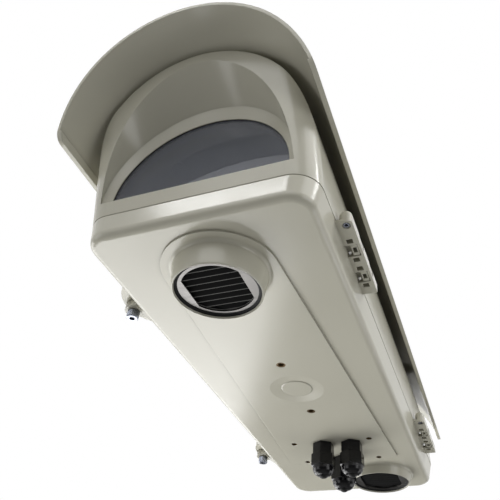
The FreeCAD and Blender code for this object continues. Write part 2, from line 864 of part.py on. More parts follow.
def sunshield_screws():
    reach = shield_reach() + 1.65
    screw = pan_screw(4.0, 2.6, 2.0, reach - cover_half + 5)
    return [placed(screw, start + way * reach, way) for start, way in post_lines()]


# Hinge pins and their screws.

def hinge_pin(row):
    y0, y1 = row - hinge_front_end + 4.5, row + hinge_rear_end - 0.5
    return bar_y(hinge_x, hinge_z, y0, y1, pin_radius)


def hinge_pin_screws():
    solids = []
    for row in hinge_rows:
        y = row + pin_screw_offset
        body = post(hinge_x, y, hinge_under_z + 0.3, hinge_z - pin_radius - 0.2, pin_screw_radius)
        solids.append(body.cut(hex_post(hinge_x, y, hinge_under_z, hinge_under_z + 3, 2.5)))
    return solids


# Latches.

def latch_screw(row):
    """Socket screw that hangs in the tray's bracket and reaches up into the cover."""
    head_top = latch_plate_z - 0.2
    head, shank, neck = latch_head_radius, latch_screw_radius, latch_screw_radius - 0.5
    groove_low, groove_top = parting_z - 1.25, parting_z - 0.15
    body = turned(latch_x, row, [(0, latch_head_z), (head - 0.8, latch_head_z), (head, latch_head_z + 0.8),
                                 (head, head_top - 0.6), (head - 0.6, head_top), (shank, head_top),
                                 (shank, groove_low), (neck, groove_low), (neck, groove_top),
                                 (shank, groove_top), (shank, latch_tip_z - 1), (shank - 1, latch_tip_z),
                                 (0, latch_tip_z)])
    body = body.cut(hex_post(latch_x, row, latch_head_z - 1, latch_head_z + latch_key, latch_key))
    reach = head + 0.15
    knurls = []
    for i in range(latch_knurls):
        angle = 2 * math.pi * i / latch_knurls
        knurls.append(post(latch_x + reach * math.cos(angle), row + reach * math.sin(angle),
                           latch_head_z - 1, head_top - 2.5, 0.4))
    return body.cut(knurls)


def latch_ring(row):
    """Open ring in the groove of a latch screw, which keeps the screw in the tray."""
    z0, z1 = parting_z - 1.2, parting_z - 0.2
    ring = tube(latch_x, row, z0, z1, latch_screw_radius + 1.7, latch_screw_radius - 0.48)
    return ring.cut(box(latch_x - 6, latch_x, row - 1.6, row + 1.6, z0 - 1, z1 + 1))


# Vents.

def vent_plate(vent):
    """Metal dish with a mouth that is round above and below and flat at both sides."""
    x, y, rim_z, _ = vent
    low = rim_z + vent_plate_depth
    top = low + vent_plate_thick
    skirt = rim_z + vent_ledge_depth - 0.2
    edge = vent_plate_radius
    dish = turned(x, y, [(0, low), (edge - 1.2, low), (edge - 0.35, low + 0.35), (edge, low + 1.2),
                         (edge, skirt), (vent_inner_bore + 0.4, skirt), (vent_inner_bore + 0.4, top),
                         (0, top)])
    mouth = post(x, y, low - 1, top + 1, vent_mouth_radius)
    flats = box(x - vent_mouth_flat, x + vent_mouth_flat, y - 40, y + 40, low - 1, top + 1)
    return dish.cut(mouth.common(flats))


def louvre_span(vent):
    low = vent[2] + vent_plate_depth + vent_plate_thick + 0.2
    return low, low + vent[3]


def louvre(vent):
    """Ring with tilted slats across it."""
    x, y = vent[:2]
    z0, z1 = louvre_span(vent)
    ring = tube(x, y, z0, z1, vent_inner_bore - 0.3, vent_inner_bore - 2.4)
    middle = z0 + 3
    slats = []
    for i in range(louvre_count):
        slat_y = y + (i - (louvre_count - 1) / 2) * louvre_pitch
        slat = box(x - 40, x + 40, slat_y - 4.4, slat_y + 4.4, middle - 0.5, middle + 0.5)
        slat.rotate(Vector(x, slat_y, middle), Vector(1, 0, 0), -louvre_tilt)
        slats.append(slat)
    inside = post(x, y, z0, z1, vent_inner_bore - 2)
    return joined([ring] + [slat.common(inside) for slat in slats])


def vent_filter(vent):
    return post(vent[0], vent[1], louvre_span(vent)[1] + 0.2, floor_z - 0.2, vent_inner_bore - 0.3)


def filter_retainer(vent):
    """Square plate with a ring of slots that holds the filter down."""
    x, y = vent[:2]
    z0, z1 = floor_z, floor_z + retainer_thick
    reach = fan_side / 2
    web = retainer_web / 2
    plate = plan_prism(reach, -reach, reach, fan_corner, z0, z1)
    plate.translate(Vector(x, y, 0))
    cuts = [post(px, py, z0 - 1, z1 + 1, small_screw + screw_slip) for px, py in corner_spots(vent)]
    webs = [box(x - reach, x + reach, y - web, y + web, z0 - 1, z1 + 1),
            box(x - web, x + web, y - reach, y + reach, z0 - 1, z1 + 1)]
    for outer, inner in retainer_slots:
        cuts.append(tube(x, y, z0 - 1, z1 + 1, outer, inner).cut(webs))
    return plate.cut(cuts)


def retainer_screws():
    screw = pan_screw(small_head, small_head_tall, small_screw, retainer_thick + small_grip)
    return [placed(screw, Vector(x, y, floor_z + retainer_thick), Vector(0, 0, 1))
            for x, y in corner_spots(vent_front)]


# Fan over the rear vent.

def fan_frame():
    x, y = vent_rear[:2]
    z0 = floor_z + fan_seat
    z1 = z0 + fan_height
    reach = fan_side / 2
    body = plan_prism(reach, -reach, reach, fan_corner, z0, z1)
    body.translate(Vector(x, y, 0))
    body = body.cut(post(x, y, z0 - 1, z1 + 1, fan_bore))
    waist = plan_prism(reach + 1, -reach - 1, reach + 1, fan_corner, z0 + fan_flange, z1 - fan_flange)
    waist.translate(Vector(x, y, 0))
    columns = [post(px, py, z0, z1, 4.4) for px, py in corner_spots(vent_rear)]
    body = body.cut(waist.cut(post(x, y, z0, z1, fan_bore + 1.8)).cut(columns))
    arms = []
    for i in range(3):
        arm = box(x, x + fan_bore + 0.8, y - fan_arm / 2, y + fan_arm / 2, z0, z0 + fan_hub_thick)
        arm.rotate(Vector(x, y, 0), Vector(0, 0, 1), 120 * i + 30)
        arms.append(arm)
    hub = post(x, y, z0, z0 + fan_hub_thick, fan_hub)
    axle = post(x, y, z0, z0 + fan_axle_tall, fan_axle)
    body = joined([body, hub, axle] + arms)
    return body.cut([post(px, py, z0 - 1, z1 + 1, small_screw + screw_slip)
                     for px, py in corner_spots(vent_rear)])


def fan_rotor():
    """Cup with seven tilted blades that turns on the frame's axle."""
    x, y = vent_rear[:2]
    base_z = floor_z + fan_seat
    z0 = base_z + rotor_lift
    z1 = z0 + rotor_height
    middle = (z0 + z1) / 2 - 0.5
    cup = post(x, y, z0, z1, fan_hub).cut(post(x, y, z0 - 1, z1 - rotor_wall, fan_hub - rotor_wall))
    sleeve = post(x, y, z0 + 0.5, z1 - 1, 2 * fan_axle)
    swept = tube(x, y, z0 + 0.5, z1 - 1, rotor_reach, fan_hub - rotor_wall / 2)
    blades = []
    for i in range(blade_count):
        blade = box(x + fan_hub - 2, x + rotor_reach, y - blade_chord / 2, y + blade_chord / 2,
                    middle - blade_thick / 2, middle + blade_thick / 2)
        blade.rotate(Vector(x, y, middle), Vector(1, 0, 0), blade_tilt)
        blade.rotate(Vector(x, y, 0), Vector(0, 0, 1), 360 * i / blade_count)
        blades.append(blade.common(swept))
    rotor = joined([cup, sleeve] + blades)
    return rotor.cut(post(x, y, z0 - 1, base_z + fan_axle_tall + 0.2, fan_axle + pin_fit))


def fan_screws():
    seat_z = floor_z + fan_seat + fan_height
    screw = pan_screw(small_head, small_head_tall, small_screw, seat_z)
    return [placed(screw, Vector(x, y, seat_z), Vector(0, 0, 1)) for x, y in corner_spots(vent_rear)]


# Camera plate.

def camera_plate():
    """Folded sheet with a flange along each side and a long slot for the camera screw."""
    z0 = plate_seat_z
    z1 = z0 + plate_thick
    solids = [plan_prism(plate_half, plate_front, plate_rear, plate_corner, z0, z1)]
    for sign in (-1, 1):
        x0, x1 = sorted((sign * plate_half, sign * (plate_half - plate_thick)))
        solids.append(box(x0, x1, plate_front + 14, plate_rear - 14, z0, z0 + plate_flange))
    y0, y1 = plate_front + plate_slot_end, plate_rear - plate_slot_end
    slot = joined([box(-plate_slot, plate_slot, y0, y1, z0 - 1, z1 + 1),
                   post(0, y0, z0 - 1, z1 + 1, plate_slot), post(0, y1, z0 - 1, z1 + 1, plate_slot)])
    holes = [post(x, y, z0 - 1, z1 + 1, small_screw + screw_slip) for x, y in plate_post_spots()]
    return joined(solids).cut([slot] + holes)


def plate_screws():
    screw = pan_screw(small_head, small_head_tall, small_screw, plate_thick + small_grip)
    return [placed(screw, Vector(x, y, plate_seat_z + plate_thick), Vector(0, 0, 1))
            for x, y in plate_post_spots()]


def camera_screw():
    """Knurled thumb screw under the plate, its thread up through the slot."""
    top = plate_seat_z - seat
    low = top - thumb_height
    tip = top + thumb_reach
    edge = 0.8
    body = turned(0, thumb_screw_y, [(0, low), (thumb_radius - edge, low), (thumb_radius, low + edge),
                                     (thumb_radius, top - edge), (thumb_radius - edge, top),
                                     (thumb_shank, top), (thumb_shank, tip - edge),
                                     (thumb_shank - edge, tip), (0, tip)])
    reach = thumb_radius + 0.3
    grooves = []
    for i in range(thumb_grooves):
        angle = 2 * math.pi * i / thumb_grooves
        grooves.append(post(reach * math.cos(angle), thumb_screw_y + reach * math.sin(angle),
                            low - 1, top + 1, 0.7))
    return body.cut(grooves)


# Terminal board.

def terminal_board():
    half_x, half_y = board_size[0] / 2, board_size[1] / 2
    z0, z1 = board_seat_z, board_seat_z + board_thick
    board = plan_prism(half_x, -half_y, half_y, board_corner, z0, z1)
    board.translate(Vector(board_centre[0], board_centre[1], 0))
    return board.cut([post(x, y, z0 - 1, z1 + 1, small_screw + screw_slip) for x, y in board_post_spots()])


def board_screws():
    screw = pan_screw(small_head, small_head_tall, small_screw, board_thick + 5)
    return [placed(screw, Vector(x, y, board_seat_z + board_thick), Vector(0, 0, 1))
            for x, y in board_post_spots()]


def terminal_poles(side):
    """Centres of the poles of one row, on the left (-1) or the right (1) of the board."""
    middle = (pole_count - 1) / 2
    return [(board_centre[0] + side * block_offset, board_centre[1] + (i - middle) * pole_pitch)
            for i in range(pole_count)]


def terminal_blocks():
    """Two rows of screw terminals, each pole with a screw shaft and a square wire mouth."""
    z0 = board_seat_z + board_thick
    z1 = z0 + block_tall
    reach = pole_count * pole_pitch / 2
    solids = []
    for side in (-1, 1):
        x = board_centre[0] + side * block_offset
        body = box(x - block_half, x + block_half, board_centre[1] - reach, board_centre[1] + reach, z0, z1)
        x0, x1 = sorted((x + side * 1.5, x + side * (block_half + 1)))
        cuts = []
        for _, y in terminal_poles(side):
            cuts.append(post(x, y, z0 + pole_mouth + 2, z1 + 1, pole_bore))
            cuts.append(box(x0, x1, y - pole_mouth, y + pole_mouth, z0 + 1.5, z0 + 1.5 * pole_mouth + 1.5))
        solids.append(body.cut(cuts))
    return solids


def terminal_clamps():
    """Slotted screws deep in the poles."""
    z0 = board_seat_z + board_thick + block_tall / 2 + 0.1
    screw = post(0, 0, 0, clamp_tall, clamp_radius)
    screw = screw.cut(box(-clamp_radius, clamp_radius, -0.4, 0.4, clamp_tall - 1, clamp_tall + 1))
    return [placed(screw, Vector(x, y, z0), Vector(0, 0, 1))
            for side in (-1, 1) for x, y in terminal_poles(side)]


# Heater and temperature switch.

def heater():
    """Finned block on two feet."""
    x, y = heater_spot
    z0 = floor_boss_z
    half_x, half_y = heater_half
    foot_x, foot_y, foot_tall = heater_foot
    base = box(x - half_x, x + half_x, y - half_y, y + half_y, z0, z0 + heater_base)
    feet = box(x - foot_x, x + foot_x, y - foot_y, y + foot_y, z0, z0 + foot_tall)
    pitch = (2 * half_x - heater_fin) / (heater_fins - 1)
    fins = []
    for i in range(heater_fins):
        fin_x = x - half_x + i * pitch
        fins.append(box(fin_x, fin_x + heater_fin, y - half_y, y + half_y, z0 + heater_base - 1, heater_top_z))
    body = joined([base, feet] + fins)
    return body.cut([post(x, y + j * heater_screw, z0 - 1, z0 + foot_tall + 1, small_screw + screw_slip)
                     for j in (-1, 1)])


def temperature_switch():
    """Round switch on a flange, with two tabs above it."""
    x, y = switch_spot
    z0 = floor_boss_z
    flange_x, flange_y, flange_tall = switch_flange
    flange = plan_prism(flange_x, -flange_y, flange_y, 3, z0, z0 + flange_tall)
    flange.translate(Vector(x, y, 0))
    body = post(x, y, z0, switch_body[1], switch_body[0])
    cap = post(x, y, z0, switch_cap[1], switch_cap[0])
    half, thick, top = switch_tab
    tabs = [box(x - half, x + half, y + j * half - thick / 2, y + j * half + thick / 2, switch_cap[1] - 1, top)
            for j in (-1, 1)]
    solid = joined([flange, body, cap] + tabs)
    return solid.cut([post(x, y + j * switch_screw, z0 - 1, z0 + flange_tall + 1, small_screw + screw_slip)
                      for j in (-1, 1)])


def floor_screws():
    screw = pan_screw(small_head, small_head_tall, small_screw, 6)
    heights = [floor_boss_z + heater_foot[2]] * 2 + [floor_boss_z + switch_flange[2]] * 2
    return [placed(screw, Vector(x, y, z), Vector(0, 0, 1)) for (x, y), z in zip(floor_screw_spots(), heights)]


# Cable glands.

def gland_bodies(spots, thread, flats):
    """Hexagon against the slab, thread up through the floor and down into the cap."""
    solids = []
    for x, y in spots:
        collar = hex_post(x, y, gland_collar_z, -seat, flats)
        stem = post(x, y, gland_stem_z, gland_inner_z, thread)
        bore = post(x, y, gland_stem_z - 1, gland_inner_z + 1, thread - gland_wall)
        solids.append(joined([collar, stem]).cut(bore))
    return solids


def gland_caps(spots, thread, flats):
    """Hexagonal cap nut, wider than the collar above it, with a domed end round the plug."""
    across = flats + gland_cap_step
    corner = across / math.sqrt(3)
    inner = thread + 0.2
    mouth = gland_plug_radius + 0.3
    dome_z = gland_brow_z - 1
    dome_depth = dome_z - gland_mouth_z
    dome = []
    for angle in range(0, 91, 18):
        swing = math.radians(angle)
        dome.append((mouth + (across / 2 - mouth) * math.cos(swing), dome_z - dome_depth * math.sin(swing)))
    profile = [(inner, gland_cap_z), (corner - 0.8, gland_cap_z), (corner, gland_cap_z - 0.5),
               (corner, gland_brow_z)] + dome + [(mouth, gland_brow_z - 6.5), (inner, gland_brow_z)]
    return [turned(x, y, profile).common(hex_post(x, y, gland_mouth_z, gland_cap_z, across))
            for x, y in spots]


def gland_seals(spots, thread):
    """Rubber plug whose rounded end looks out of the cap."""
    radius = gland_plug_radius
    end = gland_tip_z + gland_plug_round
    tip = []
    for angle in range(0, 91, 15):
        swing = math.radians(angle)
        tip.append((radius * math.cos(swing), end - gland_plug_round * math.sin(swing)))
    top = gland_stem_z - 0.5
    profile = [(0, top), (thread - 0.2, top), (thread - 0.2, gland_brow_z), (radius, gland_brow_z - 6)] + tip
    return [turned(x, y, profile) for x, y in spots]


def gland_nuts(spots, thread, flats):
    """Flat nuts on the tray's floor."""
    z0, z1 = floor_z + seat, floor_z + gland_nut_tall
    return [hex_post(x, y, z0, z1, flats).cut(post(x, y, z0 - 1, z1 + 1, thread + 0.05)) for x, y in spots]


def export(name, shape):
    """Write one node. A list becomes one group of separate solids."""
    pieces = shape if isinstance(shape, list) else [shape]
    solids = [solid for piece in pieces for solid in piece.Solids]
    whole = solids[0] if len(solids) == 1 else Part.makeCompound(solids)
    whole.exportStep("parts/" + name + ".step")


export("base_tray", base_tray())
export("bracket_inserts", bracket_inserts())
export("top_cover", top_cover())
export("cover_seal", cover_seal())
export("latch_inserts", latch_inserts())
export("window_seal", window_seal())
export("window_glass", window_glass())
export("window_frame", window_frame())
export("window_screws", window_screws())
export("sunshield", sunshield())
export("sunshield_posts", sunshield_posts())
export("sunshield_washers", sunshield_washers())
export("sunshield_screws", sunshield_screws())
export("hinge_pin_front", hinge_pin(hinge_rows[0]))
export("hinge_pin_rear", hinge_pin(hinge_rows[1]))
export("hinge_pin_screws", hinge_pin_screws())
export("latch_screw_front", latch_screw(latch_rows[0]))
export("latch_screw_rear", latch_screw(latch_rows[1]))
export("latch_ring_front", latch_ring(latch_rows[0]))
export("latch_ring_rear", latch_ring(latch_rows[1]))
for place, vent in (("front", vent_front), ("rear", vent_rear)):
    export("vent_plate_" + place, vent_plate(vent))
    export("louvre_" + place, louvre(vent))
    export("vent_filter_" + place, vent_filter(vent))
    export("filter_retainer_" + place, filter_retainer(vent))
export("retainer_screws", retainer_screws())
export("fan_frame", fan_frame())
export("fan_rotor", fan_rotor())
export("fan_screws", fan_screws())
export("camera_plate", camera_plate())
export("plate_screws", plate_screws())
export("camera_screw", camera_screw())
export("terminal_board", terminal_board())
export("board_screws", board_screws())
export("terminal_blocks", terminal_blocks())
export("terminal_clamps", terminal_clamps())
export("heater", heater())
export("temperature_switch", temperature_switch())
export("floor_screws", floor_screws())
export("gland_bodies_small", gland_bodies(gland_small_spots, gland_small_thread, gland_small_flats))
export("gland_caps_small", gland_caps(gland_small_spots, gland_small_thread, gland_small_flats))
export("gland_seals_small", gland_seals(gland_small_spots, gland_small_thread))
export("gland_nuts_small", gland_nuts(gland_small_spots, gland_small_thread, gland_small_flats))
export("gland_body_large", gland_bodies(gland_large_spots, gland_large_thread, gland_large_flats)[0])
export("gland_cap_large", gland_caps(gland_large_spots, gland_large_thread, gland_large_flats)[0])
export("gland_seal_large", gland_seals(gland_large_spots, gland_large_thread)[0])
export("gland_nut_large", gland_nuts(gland_large_spots, gland_large_thread, gland_large_flats)[0])
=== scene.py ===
# %% [markdown]
# # A camera housing for outdoors
# The object is a long cast box for a security camera. It has a tray with two vents and three
# cable glands below, a cover with a hooded window above, and a bent sheet as a sunshield.
# The solids come from the packed model, so this lesson is about light, finishes and small pieces.

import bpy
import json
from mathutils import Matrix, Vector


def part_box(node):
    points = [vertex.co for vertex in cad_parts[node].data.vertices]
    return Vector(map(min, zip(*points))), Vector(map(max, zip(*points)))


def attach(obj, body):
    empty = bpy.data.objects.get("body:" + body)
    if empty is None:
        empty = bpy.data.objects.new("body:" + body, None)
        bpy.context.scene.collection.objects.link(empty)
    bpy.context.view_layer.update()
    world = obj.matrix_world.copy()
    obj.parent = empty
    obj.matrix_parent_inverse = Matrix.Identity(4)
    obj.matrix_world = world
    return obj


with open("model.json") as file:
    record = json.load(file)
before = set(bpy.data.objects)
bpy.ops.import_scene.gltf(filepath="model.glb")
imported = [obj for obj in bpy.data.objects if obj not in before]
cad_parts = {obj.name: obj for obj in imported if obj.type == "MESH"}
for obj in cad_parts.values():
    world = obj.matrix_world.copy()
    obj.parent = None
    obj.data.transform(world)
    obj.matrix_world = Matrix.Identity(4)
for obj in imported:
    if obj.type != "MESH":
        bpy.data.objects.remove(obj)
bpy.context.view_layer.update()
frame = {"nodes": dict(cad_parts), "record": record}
nodes = frame["nodes"]

# %% [markdown]
# ## Tools of this lesson
# All lengths are metres. Small sizes are easier to read in millimetres, so one name converts them.

# %% Modules and the unit
import json
import math

import bpy
from mathutils import Euler, Vector

mm = 0.001
scene = bpy.context.scene
scene.view_settings.view_transform = "Standard"
print("one millimetre is", mm, "scene units")

# %% [markdown]
# ## The camera
# The picture looks up at the housing from in front, below and a little to the right. The camera
# stands close by, so the perspective is strong: the front is twice as large as the rear. The
# picture was cut a little off its middle, which is a small sideways shift of the lens.

# %% Camera
camera_place = Vector((0.1765, -0.5168, -0.2873))
camera_turn = Euler([math.radians(angle) for angle in (130.97, -4.11, 20.30)])
camera_lens = 42.3
camera_shift = -0.0266


def place_camera():
    bpy.ops.object.select_all(action="DESELECT")
    bpy.ops.object.camera_add(location=camera_place, rotation=camera_turn)
    camera = bpy.context.object
    camera.data.lens = camera_lens
    camera.data.shift_x = camera_shift
    camera.data.clip_start = 10 * mm
    return camera


scene.camera = place_camera()
print("the lens is", camera_lens, "mm long")

# %% [markdown]
# ## Two shaders in one
# The floor and the world are seen brighter than they shine on the object. Light Path tells the
# rays apart and a Mix Shader chooses by it, so a helper joins two shaders and their share.

# %% Mix two shaders


def mix_shaders(tree, share, first, second, end):
    """Joins two shaders, mixed by the `share` of the second one, to the node called `end`."""
    mix = tree.nodes.new("ShaderNodeMixShader")
    for number, made in enumerate((share, first.outputs[0], second.outputs[0])):
        tree.links.new(made, mix.inputs[number])
    tree.links.new(mix.outputs[0], tree.nodes[end].inputs[0])


print("ready to mix shaders")

# %% [markdown]
# ## A studio with a pale floor
# The camera is below the housing, so the floor is lower still. It is one big plane. The camera
# sees it mostly by a glow of its own, so it is pale far from the lamps too, and the rest of it
# keeps the shadow. Its paper is a little grey, so that it throws less light back up under the
# hood and the sunshield.

# %% Floor
floor_height = -1.45
floor_size = 14
floor_colour = (0.55, 0.55, 0.545, 1)
floor_roughness = 0.9
glow_colour = (0.90, 0.90, 0.89, 1)
floor_glow = 0.7


def floor_paper():
    paper = bpy.data.materials.new("floor_paper")
    paper.use_nodes = True
    tree = paper.node_tree
    shader = tree.nodes["Principled BSDF"]
    shader.inputs["Base Color"].default_value = floor_colour
    shader.inputs["Roughness"].default_value = floor_roughness
    glow = tree.nodes.new("ShaderNodeEmission")
    glow.inputs["Color"].default_value = glow_colour
    path = tree.nodes.new("ShaderNodeLightPath")
    share = tree.nodes.new("ShaderNodeMath")
    share.operation = "MULTIPLY"
    share.inputs[1].default_value = floor_glow
    tree.links.new(path.outputs["Is Camera Ray"], share.inputs[0])
    mix_shaders(tree, share.outputs[0], shader, glow, "Material Output")
    return paper


bpy.ops.mesh.primitive_plane_add(size=floor_size, location=(0, 0, floor_height))
floor = bpy.context.object
floor.name = "studio_floor"
floor.data.materials.append(floor_paper())
print("the floor is", -floor_height, "m below the bracket holes")

# %% [markdown]
# ## The world around it
# The world is dim where it lights the object, and white for the camera and for what metal and
# glass show. Three kinds of rays get the white, so the largest of their three values is the share.

# %% World
world_light = 0.05
white = (1, 1, 1, 1)
white_for = ("Is Camera Ray", "Is Transmission Ray", "Is Glossy Ray")


def light_the_world():
    world = bpy.data.worlds.new("studio")
    world.use_nodes = True
    scene.world = world
    tree = world.node_tree
    soft = tree.nodes["Background"]
    soft.inputs["Color"].default_value = white
    soft.inputs["Strength"].default_value = world_light
    bright = tree.nodes.new("ShaderNodeBackground")
    bright.inputs["Color"].default_value = white
    path = tree.nodes.new("ShaderNodeLightPath")
    shows = path.outputs[white_for[0]]
    for ray in white_for[1:]:
        either = tree.nodes.new("ShaderNodeMath")
        either.operation = "MAXIMUM"
        tree.links.new(shows, either.inputs[0])
        tree.links.new(path.outputs[ray], either.inputs[1])
        shows = either.outputs[0]
    mix_shaders(tree, shows, soft, bright, "World Output")


light_the_world()
print("the world shines with", world_light, "and is white for", len(white_for), "kinds of rays")

# %% [markdown]
# ## Soft lamps
# Wide area lamps give soft edges to shadows and long highlights on gloss paint. The strongest is
# low behind the left side: the underside mirrors it, and the round vent throws its shadow to the
# right and forwards. Three weaker ones light the sides and two the front. A long narrow one
# above the front is what the bright patch on the tray mirrors, and its upper edge is low enough
# to stay out of the glass. A small one on the right gives the corners their sparks, and two
# above light the other views. Each row has a name, a place, a width, a height and a power.

# %% Lamps
lamps = [
    ("low_left", (-1.05, 0.92, -0.80), 1.2, 1.2, 20),
    ("left", (-1.5, 0.2, -0.3), 0.8, 0.8, 6),
    ("front_left", (-1.15, -1.0, -0.35), 0.8, 0.8, 4),
    ("low_right", (0.96, 0.94, -0.75), 0.8, 0.8, 4),
    ("right", (1.42, -0.45, -0.16), 0.8, 0.8, 5),
    ("front", (0.1, -1.8, 0.7), 1.7, 0.8, 7),
    ("front_strip", (-0.363, -1.229, 1.078), 0.75, 0.13, 4.6),
    ("spark", (1.31, 0.1, 0.93), 0.25, 0.25, 3),
    ("high_right", (1.5, -0.5, 1.4), 1.4, 1.4, 14),
    ("high_rear", (-0.6, 1.6, 1.5), 1.6, 1.6, 12),
]
aim = Vector((0, 0, 0.05))


def add_lamp(name, place, width, tall, power):
    bpy.ops.object.light_add(type="AREA", location=place)
    lamp = bpy.context.object
    lamp.name = name
    lamp.data.shape = "RECTANGLE"
    lamp.data.size = width
    lamp.data.size_y = tall
    lamp.data.energy = power
    lamp.visible_camera = False
    lamp.rotation_euler = (aim - Vector(place)).to_track_quat("-Z", "Y").to_euler()


for lamp in lamps:
    add_lamp(*lamp)
print("lamps:", ", ".join(lamp[0] for lamp in lamps))

# %% [markdown]
# ## Sums in a shader
# A finish is a small graph of nodes. Written as Python expressions it stays short: a class wraps
# one socket, and +, -, * and ** on it add the Math nodes. A second class is one finish, with one
# method that adds any other node.

# %% A socket that can be summed


class Wave:
    """A number that changes over the surface."""

    def __init__(self, finish, socket):
        self.finish = finish
        self.socket = socket

    def math(self, operation, first, second):
        return self.finish.node("ShaderNodeMath", {"operation": operation}, {0: first, 1: second})

    def __add__(self, other):
        return self.math("ADD", self, other)

    def __sub__(self, other):
        return self.math("SUBTRACT", self, other)

    def __rsub__(self, other):
        return self.math("SUBTRACT", other, self)

    def __mul__(self, other):
        return self.math("MULTIPLY", self, other)

    def __pow__(self, other):
        return self.math("POWER", self, other)

    __radd__ = __add__
    __rmul__ = __mul__


print("sums ready:", [name for name in vars(Wave) if name.startswith("__r")])

# %% One finish


class Finish:
    """A material with its nodes. Constants go to the shader's own sockets."""

    def __init__(self, name, colour, **sockets):
        self.material = bpy.data.materials.new(name)
        self.material.use_nodes = True
        self.tree = self.material.node_tree
        self.shader = self.tree.nodes["Principled BSDF"]
        self.set("Base Color", (*colour, 1))
        for socket, value in sockets.items():
            self.set(socket.replace("_", " "), value)
        self.place = self.node("ShaderNodeTexCoord", output="Object")

    def node(self, kind, settings=None, sockets=None, output=0):
        made = self.tree.nodes.new(kind)
        for name, value in (settings or {}).items():
            setattr(made, name, value)
        for key, value in (sockets or {}).items():
            self.join(value, made.inputs[key])
        return Wave(self, made.outputs[output])

    def join(self, value, socket):
        if isinstance(value, Wave):
            self.tree.links.new(value.socket, socket)
        else:
            socket.default_value = value

    def set(self, socket, value):
        self.join(value, self.shader.inputs[socket])

    def noise(self, scale, detail=2.0, stretch=(1, 1, 1)):
        """Soft random waves, `scale` of them to a metre, from 0 to 1."""
        place = self.node("ShaderNodeMapping", None, {"Vector": self.place, "Scale": stretch})
        return self.node("ShaderNodeTexNoise", None, {"Vector": place, "Scale": scale, "Detail": detail})

    def tint(self, low, high, mask):
        """A colour between two, by a mask."""
        sockets = {0: mask, 6: (*low, 1), 7: (*high, 1)}
        return self.node("ShaderNodeMix", {"data_type": "RGBA"}, sockets, 2)

    def bump(self, height, depth, under=None):
        """A normal that is bent by a height of 0 to 1, over a depth in metres."""
        sockets = {"Height": height, "Distance": depth, "Strength": 1.0}
        if under is not None:
            sockets["Normal"] = under
        return self.node("ShaderNodeBump", None, sockets)

    def soft_edge(self, radius):
        """A normal that rounds sharp edges by a small radius."""
        return self.node("ShaderNodeBevel", {"samples": 4}, {"Radius": radius})


finishes = {}


def keep(slot, finish):
    """Files a finish under the record's material slot that it is for."""
    finish.material.name = slot
    finishes[slot] = finish.material
    print("finish", slot, "has", len(finish.tree.nodes), "nodes")


# %% [markdown]
# ## Gloss powder paint
# The castings and the sunshield wear a thick warm grey powder coat. Powder melts into a gloss
# skin with a fine ripple, called orange peel, over a casting that is itself a little wavy.
# Four noises do this: the broadest stains the colour, two bend the highlights and vary the
# gloss, and the finest is the peel. A bevel node rounds the cast edges, where paint never is
# sharp. An occlusion node finds steps and corners and paints shade into them: there the mask
# falls off fast, and the colour is darker.

# %% Paint
paint_colour = (0.592, 0.576, 0.482)
# The darker colour is painted shade in steps and corners, and the low end of the random stain.
shade_and_stain_colour = (0.360, 0.343, 0.273)
shade_reach = 5 * mm
shade_falloff = 4
stain_share = 0.3
paint_edge = 0.9 * mm
casting_wave = 0.12 * mm
orange_peel = 0.02 * mm


def powder_paint(name, roughness):
    finish = Finish(name, paint_colour)
    # The occlusion paints shade into steps and corners: the colour goes darker there.
    corner_shade_mask = finish.node("ShaderNodeAmbientOcclusion", {"samples": 6}, {"Distance": shade_reach}, 1)
    plain_colour_share = finish.noise(7, 1) * stain_share + (1 - stain_share) * corner_shade_mask ** shade_falloff
    finish.set("Base Color", finish.tint(shade_and_stain_colour, paint_colour, plain_colour_share))
    finish.set("Roughness", finish.noise(35, 1) * 0.08 + roughness)
    waves = finish.bump(finish.noise(16, 1), casting_wave, finish.soft_edge(paint_edge))
    finish.set("Normal", finish.bump(finish.noise(520, 1), orange_peel, waves))
    return finish


keep("cast_paint", powder_paint("cast_paint", 0.16))
keep("shield_paint", powder_paint("shield_paint", 0.20))

# %% [markdown]
# ## Window glass
# The window is a flat plate of glass. Behind it the housing is dark, so from outside it looks
# like a dark blue grey mirror. Dust and a thin film of dirt scatter some of the light before it
# gets through, so the shader lets most of it pass and the rest shows the colour of the plate.

# %% Glass
glass_colour = (0.34, 0.36, 0.42)
passes_glass = 0.7
glass_ior = 1.5
glass_haze = 0.03


def window_glass():
    finish = Finish("window_glass", glass_colour, Transmission_Weight=passes_glass, IOR=glass_ior)
    finish.set("Roughness", finish.noise(14, 2) * glass_haze)
    return finish


keep("window_glass", window_glass())

# %% [markdown]
# ## Rubber and plastics
# Rubber is matt with a fine grain. Moulded plastic is smoother, and the glands are nearly
# polished, so that they show small sharp highlights. All are one recipe: a fine grain, a
# roughness that varies a little, and a colour, a roughness and a shine of their own.

# %% Moulded pieces
moulded_grain = 0.02 * mm
moulded_edge = 0.35 * mm
dull = 0.2
plain = 0.5


def moulded(name, colour, roughness):
    finish = Finish(name, colour)
    finish.set("Roughness", finish.noise(90, 3) * 0.15 + roughness)
    rounded = finish.soft_edge(moulded_edge)
    finish.set("Normal", finish.bump(finish.noise(900, 2), moulded_grain, rounded))
    return finish


for name, colour, roughness, shine in [
    ("rubber_seal", (0.008, 0.008, 0.008), 0.55, dull),
    ("vent_plastic", (0.004, 0.004, 0.004), 0.45, dull),
    ("gland_plastic", (0.006, 0.006, 0.007), 0.07, 0.3),
    ("gland_rubber", (0.008, 0.008, 0.008), 0.45, dull),
    ("fan_plastic", (0.016, 0.016, 0.017), 0.35, plain),
    ("terminal_plastic", (0.045, 0.230, 0.080), 0.30, plain),
    ("switch_plastic", (0.030, 0.020, 0.014), 0.30, plain),
]:
    finish = moulded(name, colour, roughness)
    finish.set("Specular IOR Level", shine)
    keep(name, finish)
